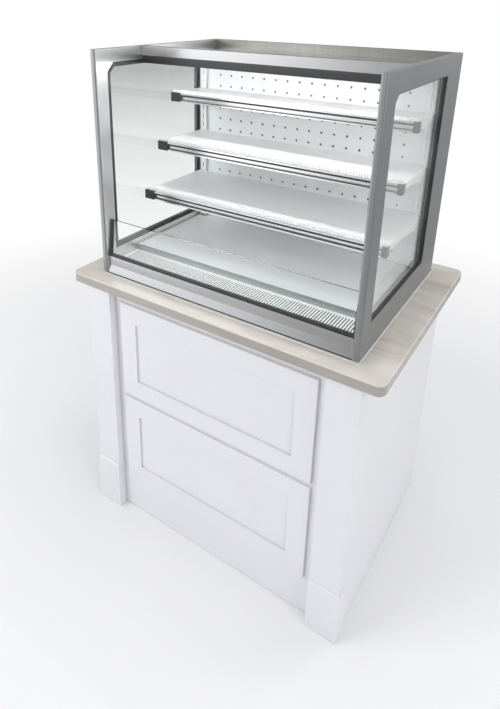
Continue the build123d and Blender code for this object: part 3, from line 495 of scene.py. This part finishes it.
# %% Plastic and rubber
def moulded(name, colour, roughness, grain_scale, depth=0.00005):
    tree, shader = start_material(name)
    grain = use_group(
        tree, pebbled_coat, Colour=colour, Roughness=roughness, Pebble_Scale=grain_scale, Drift=0.08
    )
    used = highlighted_and_shaded(tree, grain, rgba(*(channel + 0.05 for channel in colour[:3])), 0.4, 0.3)
    drive(tree, shader, used, grain.outputs["Height"], depth)


moulded("black_trim", rgba(0.022, 0.022, 0.024), 0.42, 900.0)
moulded("black_rubber", rgba(0.018, 0.018, 0.018), 0.66, 700.0)
moulded("grey_plastic", rgba(0.14, 0.145, 0.15), 0.45, 900.0)
moulded("fan_black", rgba(0.03, 0.03, 0.032), 0.40, 1000.0)
moulded("control_black", rgba(0.025, 0.025, 0.028), 0.36, 1400.0)
moulded("foam", rgba(0.72, 0.60, 0.34), 0.85, 320.0, 0.0003)
moulded("pale_sealant", rgba(0.55, 0.55, 0.54), 0.40, 900.0)
print("plastics", len(materials))

# %% [markdown]
# The counter's top is a pale beige stone, cut so that its bands run along the counter. Two
# noises are enough: one, stretched along the slab, makes the soft bands, and its own coordinates
# are first pushed about by a slower noise so that no band is straight. A fine speckle on top
# keeps it from looking painted. The polish is high, so roughness stays low. The slab's sides are
# painted darker than its top, a painted shade, and the surface's normal tells the two apart.

# %% Stone
# painted shade: the slab's sideways faces are darkened toward this colour
side_shade_colour = rgba(0.10, 0.09, 0.075)
side_shade_share = 0.45
fleck_colour = rgba(0.40, 0.36, 0.31)


def stone_finish():
    tree, shader = start_material("stone", Coat_Weight=0.15, Coat_Roughness=0.12)
    place = position(tree)
    push = add(tree, "TexNoise", {}, {"Vector": place, "Scale": 2.2, "Detail": 3.0}).outputs["Color"]
    settings = {"operation": "MULTIPLY_ADD"}
    bent = add(tree, "VectorMath", settings, {0: push, 1: (0.16, 0.22, 0.10), 2: place}).outputs[0]
    drawn = add(
        tree, "Mapping", {}, {"Vector": bent, "Scale": (1.4, 9.0, 9.0), "Rotation": (0.0, 0.0, 0.12)}
    )
    bands = add(
        tree, "TexNoise", {}, {"Vector": drawn.outputs[0], "Scale": 1.6, "Detail": 6.0, "Roughness": 0.62}
    ).outputs["Fac"]
    ramp = add(tree, "ValToRGB", {}, {"Fac": bands})
    stops = ramp.color_ramp.elements
    stops[0].position, stops[0].color = 0.30, rgba(0.46, 0.42, 0.365)
    stops[1].position, stops[1].color = 0.74, rgba(0.70, 0.67, 0.62)
    for spot, colour in ((0.42, rgba(0.57, 0.53, 0.475)), (0.55, rgba(0.64, 0.60, 0.55))):
        stops.new(spot).color = colour
    speckle = add(tree, "TexNoise", {}, {"Vector": place, "Scale": 320.0, "Detail": 2.0}).outputs["Fac"]
    flecks = remap(tree, speckle, 0.58, 0.72, 0.0, 0.25)
    colour = mix_colours(tree, flecks, ramp.outputs[0], fleck_colour)
    normal = add(tree, "NewGeometry").outputs["True Normal"]
    facing_up = add(tree, "SeparateXYZ", {}, {0: normal}).outputs["Z"]
    # painted shade on faces whose normal turns sideways
    side_shade = remap(tree, facing_up, 0.6, 0.3, 0.0, side_shade_share)
    colour = mix_colours(tree, side_shade, colour, side_shade_colour)
    rough = remap(tree, bands, 0.3, 0.7, 0.20, 0.28)
    used = use_group(tree, painted_corner_shade, Colour=colour, Roughness=rough, Amount=0.5)
    drive(tree, shader, used, speckle, 0.00002)


stone_finish()
print("stone ready")

# %% [markdown]
# Clear glass is a Principled shader with full transmission. In a closed room of glass the
# lamps' shadow rays would stop at the panes and leave the display dark, so for those rays alone
# the pane is transparent. The faint green of its body is held in the base colour, and a noise
# in the roughness stands for wiping marks.

# %% Glass
def pane_finish():
    tree, shader = start_material(
        "pane_glass", Base_Color=rgba(0.965, 0.985, 0.98), Transmission_Weight=1.0, IOR=1.5
    )
    marks = add(tree, "TexNoise", {}, {"Vector": position(tree), "Scale": 6.0, "Detail": 5.0})
    tree.links.new(remap(tree, marks.outputs["Fac"], 0.45, 0.75, 0.0, 0.03), shader.inputs["Roughness"])
    clear = add(tree, "BsdfTransparent", {}, {"Color": rgba(0.93, 0.96, 0.95)})
    lamp_ray = add(tree, "LightPath").outputs["Is Shadow Ray"]
    pane = add(tree, "MixShader", {}, {0: lamp_ray, 1: shader.outputs[0], 2: clear.outputs[0]})
    output = tree.nodes["Material Output"]
    tree.links.new(pane.outputs[0], output.inputs["Surface"])


pane_finish()
print("glass ready")

# %% [markdown]
# Galvanised sheet shows flat crystals of zinc, a few millimetres across, each with its own grey.
# A Voronoi texture is exactly that: cells with one random colour each. Copper pipe is smooth but
# tarnishes in patches, and the light's opal cover glows evenly.

# %% Zinc, copper and opal
light_strength = 25.0


def galvanised_finish():
    tree, shader = start_material("galvanised", Metallic=0.9)
    crystals = add(tree, "TexVoronoi", {}, {"Vector": position(tree), "Scale": 110.0}).outputs["Color"]
    grey = add(tree, "SeparateColor", {}, {0: crystals}).outputs["Red"]
    colour = mix_colours(tree, grey, rgba(0.42, 0.44, 0.46), rgba(0.60, 0.62, 0.63))
    rough = remap(tree, grey, 0.0, 1.0, 0.34, 0.52)
    used = use_group(tree, painted_corner_shade, Colour=colour, Roughness=rough, Amount=0.5)
    drive(tree, shader, used, grey, 0.00002)


def copper_finish():
    tree, shader = start_material("copper", Metallic=1.0)
    tarnish = add(
        tree, "TexNoise", {}, {"Vector": position(tree), "Scale": 22.0, "Detail": 6.0}
    ).outputs["Fac"]
    colour = mix_colours(
        tree, remap(tree, tarnish, 0.35, 0.7), rgba(0.80, 0.42, 0.27), rgba(0.36, 0.19, 0.13)
    )
    rough = remap(tree, tarnish, 0.3, 0.7, 0.24, 0.46)
    used = use_group(tree, painted_corner_shade, Colour=colour, Roughness=rough, Amount=0.5)
    drive(tree, shader, used, tarnish, 0.00005)


def opal_finish():
    tree, shader = start_material("light_cover", Emission_Strength=light_strength, Roughness=0.3)
    ribs = add(tree, "TexNoise", {}, {"Vector": position(tree), "Scale": 30.0, "Detail": 2.0}).outputs["Fac"]
    glow = mix_colours(tree, ribs, rgba(1.0, 0.98, 0.94), rgba(0.95, 0.97, 1.0))
    tree.links.new(glow, shader.inputs["Base Color"])
    tree.links.new(glow, shader.inputs["Emission Color"])


galvanised_finish()
copper_finish()
opal_finish()
print("finishes", len(materials))

# %% [markdown]
# Each CAD node names the slot its finish comes from, so the finishes are handed out by the
# record. The meshes arrive with hard corners. Real sheet and board have a small round on every
# edge that catches a line of light, and a Bevel modifier adds it without touching the frame's
# vertices. Perforated sheets are left out: their many holes gain nothing from it.

# %% Dress the CAD nodes
soft_edges = {
    "side_panels": 0.0010,
    "front_board": 0.0010,
    "plinth_blocks": 0.0012,
    "front_panels": 0.0008,
    "rear_frame": 0.0010,
    "left_door": 0.0010,
    "right_door": 0.0010,
    "side_frames": 0.0008,
    "rear_panel": 0.0008,
    "canopy_rail": 0.0012,
    "front_fascia": 0.0008,
    "deck_front_trim": 0.0006,
}


def dress(node, slot_name):
    piece = frame["nodes"][node]
    piece.data.materials.clear()
    piece.data.materials.append(materials[slot_name])
    if node in soft_edges:
        edge = piece.modifiers.new("soft edges", "BEVEL")
        edge.width = soft_edges[node]
        edge.segments = 2
        edge.limit_method = "ANGLE"
        edge.angle_limit = math.radians(40)


for subpart in frame["record"]["subparts"]:
    dress(subpart["node"], subpart["material_slot"])

# %% [markdown]
# New pieces are made as meshes from their outlines. Most are small blocks with rounded edges, or
# short turned shapes such as screw heads, so two makers cover them: one bevels a block between
# two corners, the other turns a profile about its axis and sets it on a face.


def finish_piece(name, mesh_data, slot_name, body):
    """Turns a finished bmesh into a piece that rides on a body."""
    mesh = bpy.data.meshes.new(name)
    mesh_data.to_mesh(mesh)
    mesh_data.free()
    mesh.materials.append(materials[slot_name])
    piece = bpy.data.objects.new(name, mesh)
    bpy.context.scene.collection.objects.link(piece)
    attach(piece, body)


def block_into(mesh_data, low, high, edge):
    """Adds a block between two corners, with its edges rounded."""
    low, high = Vector(low), Vector(high)
    place = Matrix.Translation((low + high) / 2) @ Matrix.Diagonal((*(high - low), 1.0))
    made = bmesh.ops.create_cube(mesh_data, size=1.0, matrix=place)
    edges = list({edge for corner in made["verts"] for edge in corner.link_edges})
    bmesh.ops.bevel(
        mesh_data, geom=edges, offset=edge, segments=2, profile=0.5, affect="EDGES", clamp_overlap=True
    )


def turned_into(mesh_data, profile, place, steps):
    """Adds a shape turned about Z from (radius, height) points, moved by a matrix."""
    rings = []
    for radius, height in profile:
        ring = []
        for step in range(steps):
            angle = 2 * math.pi * step / steps
            point = Vector((radius * math.cos(angle), radius * math.sin(angle), height))
            ring.append(mesh_data.verts.new(place @ point))
        rings.append(ring)
    for lower, upper in zip(rings, rings[1:]):
        for step in range(steps):
            after = (step + 1) % steps
            mesh_data.faces.new((lower[step], lower[after], upper[after], upper[step]))
    mesh_data.faces.new(reversed(rings[0]))
    mesh_data.faces.new(rings[-1])


print("makers ready")

# %% [markdown]
# The display's flange lies on a gasket on the stone. Fitters then run a bead of pale sealant
# round it, smoothed with a finger to a hollow curve, which draws a light line between steel and
# stone. A ring of points at three heights, joined by sloping faces, is enough for that curve.
# A long rounded black bar lies along the foot of the fascia on the flange and draws a dark line there.

# %% Sealant bead and black bar at the fascia's foot
bead_width = 0.003
bead_hollow = 0.0016               # height of the bead's middle above the gasket's foot
foot_bar_width = 0.0018


def sealant_bead():
    low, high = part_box("tank_shell")
    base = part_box("mounting_gasket")[0].z
    top = high.z - 0.0004
    mesh_data = bmesh.new()
    corners = [(low.x, low.y), (high.x, low.y), (high.x, high.y), (low.x, high.y)]
    outward = [(-1, -1), (1, -1), (1, 1), (-1, 1)]
    rings = []
    for reach, height in ((0.0, top), (bead_width * 0.35, base + bead_hollow), (bead_width, base)):
        ring = []
        for corner, way in zip(corners, outward):
            ring.append(
                mesh_data.verts.new((corner[0] + reach * way[0], corner[1] + reach * way[1], height))
            )
        rings.append(ring)
    for upper, lower in zip(rings, rings[1:]):
        for side in range(4):
            after = (side + 1) % 4
            mesh_data.faces.new((upper[side], lower[side], lower[after], upper[after]))
    finish_piece("sealant_bead", mesh_data, "pale_sealant", "cabinet")


def fascia_foot_bar():
    low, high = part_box("front_fascia")
    mesh_data = bmesh.new()
    block_into(
        mesh_data,
        (low.x, low.y - foot_bar_width, low.z),
        (high.x, low.y + 0.0004, low.z + foot_bar_width),
        0.0004,
    )
    finish_piece("fascia_foot_bar", mesh_data, "black_rubber", "cabinet")


sealant_bead()
fascia_foot_bar()
print("sealant bead", bead_width * 1000, "mm wide, foot bar", foot_bar_width * 1000, "mm")

# %% [markdown]
# Each shelf edge carries an aluminium channel. Two black bars, one under each lip, draw the thin
# dark lines along the shelf: they are painted shade for the shadows the lips cast into the channel.
# They are long rounded bars pressed into the corners of the channel, the upper one the thicker. A
# black cap closes each end and laps over the channel's face, further at the left. All of them ride
# with their shelf.

# %% Shelf edge bars of painted shade
upper_bead, lower_bead = 0.006, 0.0016
channel_lip = 0.005
channel_wall = 0.0015
cap_length = 0.003
cap_laps = {-1: 0.040, 1: 0.012}   # of the left and right caps over the channel's face
cap_depth = 0.009                  # of that lap, back from the face
cap_wall = 0.0005
shelf_levels = ("top", "middle", "bottom")


def shelf_shade_bars(level):
    low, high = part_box(level + "_price_channel")
    face = low.y
    mesh_data = bmesh.new()
    left, right = low.x + cap_length, high.x - cap_length
    upper_start = high.z - channel_lip - upper_bead
    # painted shade: the two black bars stand for the shadows under the channel's lips
    for start, height in ((upper_start, upper_bead), (low.z + channel_lip, lower_bead)):
        block_into(
            mesh_data,
            (left, face + 0.0003, start),
            (right, face + channel_wall + 0.0006, start + height),
            0.0003,
        )
    finish_piece(level + "_shelf_shade_bars", mesh_data, "black_rubber", level + "_shelf")
    caps = bmesh.new()
    for side in (-1, 1):
        for lap, back in ((0.0, high.y + cap_wall), (cap_laps[side], face + cap_depth)):
            inner, outer = side * (high.x - cap_length - lap), side * (high.x + cap_wall)
            block_into(
                caps,
                (min(inner, outer), face - cap_wall, low.z - cap_wall),
                (max(inner, outer), back, high.z + cap_wall),
                0.0006,
            )
    finish_piece(level + "_shelf_end_caps", caps, "black_trim", level + "_shelf")


for level_name in shelf_levels:
    shelf_shade_bars(level_name)
print("beads and caps on", len(shelf_levels), "shelves")

# %% [markdown]
# Screws are only seen close to, but a hinge or panel without them looks like a toy. A domed head
# needs a turned profile. Its cross recess is not cut: a thin black cross on the crown stands in
# for it, a painted shade for the recess's hollow. The heads point along the back's outward normal.

# %% Screws
head_profile = ((0.0032, 0.0), (0.0031, 0.0005), (0.0024, 0.0011), (0.0012, 0.0014))
head_steps = 16
recess_shade_bar = Matrix.Diagonal((0.0024, 0.0006, 0.0002, 1.0))
back_facing = Matrix.Rotation(math.radians(-90), 4, "X")
hinge_height = 0.066
leaf_thickness = 0.002
leaf_screw_spacing = 0.023
frame_leaf_inset = 0.010           # of its screws from the outer edge
door_leaf_inset = 0.012            # of its screws from the inner edge
door_leaf_reach = 0.0305           # across a door's leaf and knuckle
panel_inset = 0.012                # of the back panel's screws from its edges
panel_columns = 6
panel_rows = 3                     # between the corners


def screws(name, places, body):
    """One piece that holds every screw head of a set, and a second with a black cross of painted shade on
    each crown.
    """
    mesh_data = bmesh.new()
    for place in places:
        turned_into(mesh_data, head_profile, Matrix.Translation(place) @ back_facing, head_steps)
    finish_piece(name, mesh_data, "hinge_steel", body)
    # painted shade: a thin black cross on each crown stands for its cross recess
    recess_shade = bmesh.new()
    crown = Matrix.Translation((0.0, 0.0, head_profile[-1][1]))
    for place in places:
        for angle in (0, 90):
            spot = Matrix.Translation(place) @ back_facing @ Matrix.Rotation(math.radians(angle), 4, "Z")
            bmesh.ops.create_cube(recess_shade, size=1.0, matrix=spot @ crown @ recess_shade_bar)
    finish_piece(name + "_recess_shades", recess_shade, "black_rubber", body)


def hinge_screws():
    """Three screws in each leaf, on the frame and on the doors."""
    frame_low, frame_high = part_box("hinge_frame_leaves")
    outer = frame_high.x - frame_leaf_inset
    face = frame_low.y + leaf_thickness
    middles = (frame_low.z + hinge_height / 2, frame_high.z - hinge_height / 2)
    steps = (-leaf_screw_spacing, 0.0, leaf_screw_spacing)
    heights = [middle + step for middle in middles for step in steps]
    for name, side in (("left", -1), ("right", 1)):
        hardware_low, hardware_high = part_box(name + "_door_hardware")
        edge = abs(hardware_low.x if side < 0 else hardware_high.x)
        inner = edge - door_leaf_reach + door_leaf_inset
        screws(
            name + "_frame_hinge_screws",
            [(side * outer, face, height) for height in heights],
            "cabinet",
        )
        screws(
            name + "_door_hinge_screws",
            [(side * inner, face, height) for height in heights],
            name + "_door_leaf",
        )


def panel_screws():
    """A row up each side and along the top and bottom of the display's back."""
    low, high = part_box("rear_panel")
    left, right = low.x + panel_inset, high.x - panel_inset
    foot, head = low.z + panel_inset, high.z - panel_inset
    across = [left + (right - left) * step / (panel_columns - 1) for step in range(panel_columns)]
    up = [foot + (head - foot) * step / (panel_rows + 1) for step in range(1, panel_rows + 1)]
    places = [(x, high.y, z) for x in across for z in (foot, head)]
    places += [(x, high.y, z) for x in (left, right) for z in up]
    screws("rear_panel_screws", places, "cabinet")
    return len(places)


hinge_screws()
print("screws in the back panel", panel_screws())

# %% [markdown]
# The studio is a pale floor that runs out to white in every direction, so that the part can be
# seen from any side. Near the object the floor is a plain matt surface that takes its shadow.
# Further out it turns into even white light for rays from the camera, while the lamps' own
# bounce still sees the matt floor. Steel needs something to show, so for reflections the room is
# bright at the left, where its window is, and falls off to grey elsewhere. Through glass the room
# is white close by and turns grey with distance.

# %% Floor
pure_white = rgba(1.0, 1.0, 1.0)
floor_radius = 30.0
shadow_radius = 1.3
white_radius = 3.0
window_direction = (-0.90, -0.42, 0.12)
window_rim, window_heart = 0.62, 0.90    # cosines of the angle away from that direction
room_dark, room_window = 0.41, 2.0
glass_near, glass_far = 2.5, 14.0
far_grey = 0.45


def room_glow(tree, direction):
    """Brightness of the room in a direction, for reflections."""
    settings = {"operation": "DOT_PRODUCT"}
    facing = add(tree, "VectorMath", settings, {0: direction, 1: window_direction}).outputs["Value"]
    return remap(tree, facing, window_rim, window_heart, room_dark, room_window)


def after_steel_or_glass(tree, path):
    """Output that is 1 for rays that come from a reflection or through glass."""
    return maths(tree, "MAXIMUM", path.outputs["Is Glossy Ray"], path.outputs["Is Transmission Ray"])


def studio_floor():
    mesh = bpy.data.meshes.new("studio_floor")
    mesh_data = bmesh.new()
    bmesh.ops.create_circle(mesh_data, cap_ends=True, radius=floor_radius, segments=96)
    mesh_data.to_mesh(mesh)
    mesh_data.free()
    floor = bpy.data.objects.new("studio_floor", mesh)
    bpy.context.scene.collection.objects.link(floor)
    tree, shader = start_material("studio_floor", Base_Color=rgba(0.86, 0.86, 0.87), Roughness=0.9)
    length = add(tree, "VectorMath", {"operation": "LENGTH"}, {0: position(tree)}).outputs["Value"]
    far = remap(tree, length, shadow_radius, white_radius)
    through_glass = remap(tree, length, glass_near, glass_far, 1.0, far_grey)
    path = add(tree, "LightPath")
    seen = maths(tree, "MAXIMUM", path.outputs["Is Camera Ray"], after_steel_or_glass(tree, path))
    onward = add(tree, "VectorMath", {"operation": "NORMALIZE"}, {0: position(tree)}).outputs[0]
    reflected = room_glow(tree, onward)
    strength = mix_values(tree, path.outputs["Is Transmission Ray"], reflected, through_glass)
    strength = mix_values(tree, path.outputs["Is Camera Ray"], strength, 1.0)
    white = add(tree, "Emission", {}, {"Color": pure_white, "Strength": strength})
    factor = maths(tree, "MULTIPLY", far, seen)
    both = add(tree, "MixShader", {}, {0: factor, 1: shader.outputs[0], 2: white.outputs[0]})
    tree.links.new(both.outputs[0], tree.nodes["Material Output"].inputs["Surface"])
    mesh.materials.append(materials["studio_floor"])
    return floor


studio_floor()
print("floor fades to white between", shadow_radius, "and", white_radius, "m")

# %% [markdown]
# The world is white where the camera sees it, and dimmer where it only lights, so that pale
# coats keep their shape. Reflections see the same room as on the floor, and glass its far grey.

# %% World
ambient_strength = 0.46
ambient_colour = rgba(0.97, 0.98, 1.0)


def studio_world():
    world = bpy.data.worlds.new("studio_world")
    bpy.context.scene.world = world
    world.use_nodes = True
    tree = world.node_tree
    tree.nodes.clear()
    path = add(tree, "LightPath")
    direction = add(tree, "TexCoord").outputs["Generated"]
    reflected = room_glow(tree, direction)
    strength = mix_values(tree, path.outputs["Is Transmission Ray"], reflected, far_grey)
    room = add(tree, "Background", {}, {"Color": pure_white, "Strength": strength})
    ambient = add(tree, "Background", {}, {"Color": ambient_colour, "Strength": ambient_strength})
    white = add(tree, "Background", {}, {"Color": pure_white, "Strength": 1.0})
    indirect = after_steel_or_glass(tree, path)
    lit = add(tree, "MixShader", {}, {0: indirect, 1: ambient.outputs[0], 2: room.outputs[0]})
    camera_ray = path.outputs["Is Camera Ray"]
    both = add(tree, "MixShader", {}, {0: camera_ray, 1: lit.outputs[0], 2: white.outputs[0]})
    add(tree, "OutputWorld", {}, {"Surface": both.outputs[0]})


studio_world()
print("ambient", ambient_strength)

# %% [markdown]
# Four large soft lamps light the counter: a key from the front left, a weaker fill from the
# right, one overhead and one behind, which keeps the service side from going dark. Large lamps
# give soft shadows and broad highlights on the steel. Each is aimed at the middle of the display.

# %% Lamps
lamp_target = Vector((0.0, 0.0, 1.0))


def lamp(name, place, size, watts):
    """A square area lamp aimed at the target."""
    data = bpy.data.lights.new(name, "AREA")
    data.shape = "SQUARE"
    data.size = size
    data.energy = watts
    light = bpy.data.objects.new(name, data)
    bpy.context.scene.collection.objects.link(light)
    light.location = place
    aim = lamp_target - Vector(place)
    light.rotation_euler = aim.to_track_quat("-Z", "Y").to_euler()


lamp("key_lamp", (-2.4, -3.2, 3.0), 2.6, 84)
lamp("fill_lamp", (3.4, -1.6, 2.2), 2.6, 42)
lamp("top_lamp", (0.0, 0.3, 4.2), 2.4, 50)
lamp("back_lamp", (2.6, 3.2, 2.8), 2.6, 42)
print("lamps", len(bpy.data.lights))

# %% [markdown]
# The view transform is left plain, so that a colour renders about as it is written.

# %% View transform
bpy.context.scene.view_settings.view_transform = "Standard"
